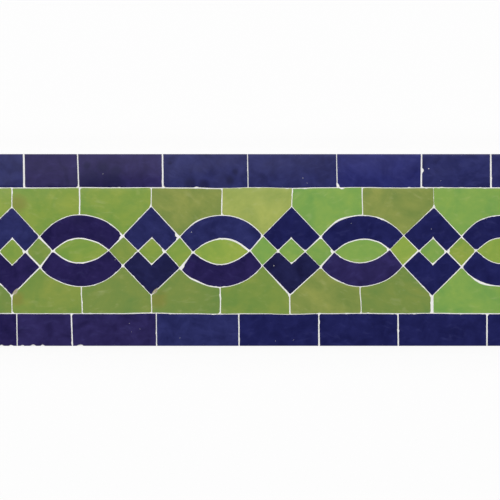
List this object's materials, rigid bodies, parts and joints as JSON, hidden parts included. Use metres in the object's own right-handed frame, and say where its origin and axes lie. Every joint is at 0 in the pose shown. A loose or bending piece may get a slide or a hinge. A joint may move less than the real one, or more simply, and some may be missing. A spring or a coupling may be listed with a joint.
{
  "type": "pool waterline mosaic tile panel",
  "caption": "Hand-cut glazed mosaic border in a cement bed: a ribbon of chevrons and arches between rows of edge tiles, for the waterline of a pool.",
  "frame": {"origin": "middle of the back of the cement bed", "axes": "+X along the border, +Y across it towards the upper edge tiles, +Z out of the glazed face"},
  "size_m": [0.4564, 0.1562, 0.016],
  "materials": {
    "navy_glaze": "cobalt glaze over terracotta, glossy and slightly cloudy",
    "green_glaze": "copper green glaze over terracotta, glossy, its shade differing from piece to piece",
    "white_cement": "white cement, cast and wiped, matte"
  },
  "bodies": {
    "root": {"cement_bed": "white_cement", "crossing_squares": "green_glaze", "inner_square_1": "green_glaze", "inner_square_2": "green_glaze", "inner_square_3": "green_glaze", "inner_square_4": "green_glaze", "lenses": "green_glaze", "lower_arch_1": "navy_glaze", "lower_arch_2": "navy_glaze", "lower_arch_3": "navy_glaze", "lower_arch_4": "navy_glaze", "lower_chevron_1": "navy_glaze", "lower_chevron_2": "navy_glaze", "lower_chevron_3": "navy_glaze", "lower_chevron_4": "navy_glaze", "lower_edge_tile_1": "navy_glaze", "lower_edge_tile_2": "navy_glaze", "lower_edge_tile_3": "navy_glaze", "lower_edge_tile_4": "navy_glaze", "lower_edge_tile_5": "navy_glaze", "lower_edge_tile_6": "navy_glaze", "lower_edge_tile_7": "navy_glaze", "lower_edge_tile_8": "navy_glaze", "lower_field_tile_1": "green_glaze", "lower_field_tile_2": "green_glaze", "lower_field_tile_3": "green_glaze", "lower_field_tile_4": "green_glaze", "lower_field_tile_5": "green_glaze", "lower_field_tile_6": "green_glaze", "lower_field_tile_7": "green_glaze", "lower_field_tile_8": "green_glaze", "lower_field_tile_9": "green_glaze", "upper_arch_1": "navy_glaze", "upper_arch_2": "navy_glaze", "upper_arch_3": "navy_glaze", "upper_arch_4": "navy_glaze", "upper_chevron_1": "navy_glaze", "upper_chevron_2": "navy_glaze", "upper_chevron_3": "navy_glaze", "upper_chevron_4": "navy_glaze", "upper_edge_tile_1": "navy_glaze", "upper_edge_tile_2": "navy_glaze", "upper_edge_tile_3": "navy_glaze", "upper_edge_tile_4": "navy_glaze", "upper_edge_tile_5": "navy_glaze", "upper_edge_tile_6": "navy_glaze", "upper_edge_tile_7": "navy_glaze", "upper_edge_tile_8": "navy_glaze", "upper_field_tile_1": "green_glaze", "upper_field_tile_2": "green_glaze", "upper_field_tile_3": "green_glaze", "upper_field_tile_4": "green_glaze", "upper_field_tile_5": "green_glaze", "upper_field_tile_6": "green_glaze", "upper_field_tile_7": "green_glaze", "upper_field_tile_8": "green_glaze", "upper_field_tile_9": "green_glaze"}
  },
  "joints": []
}
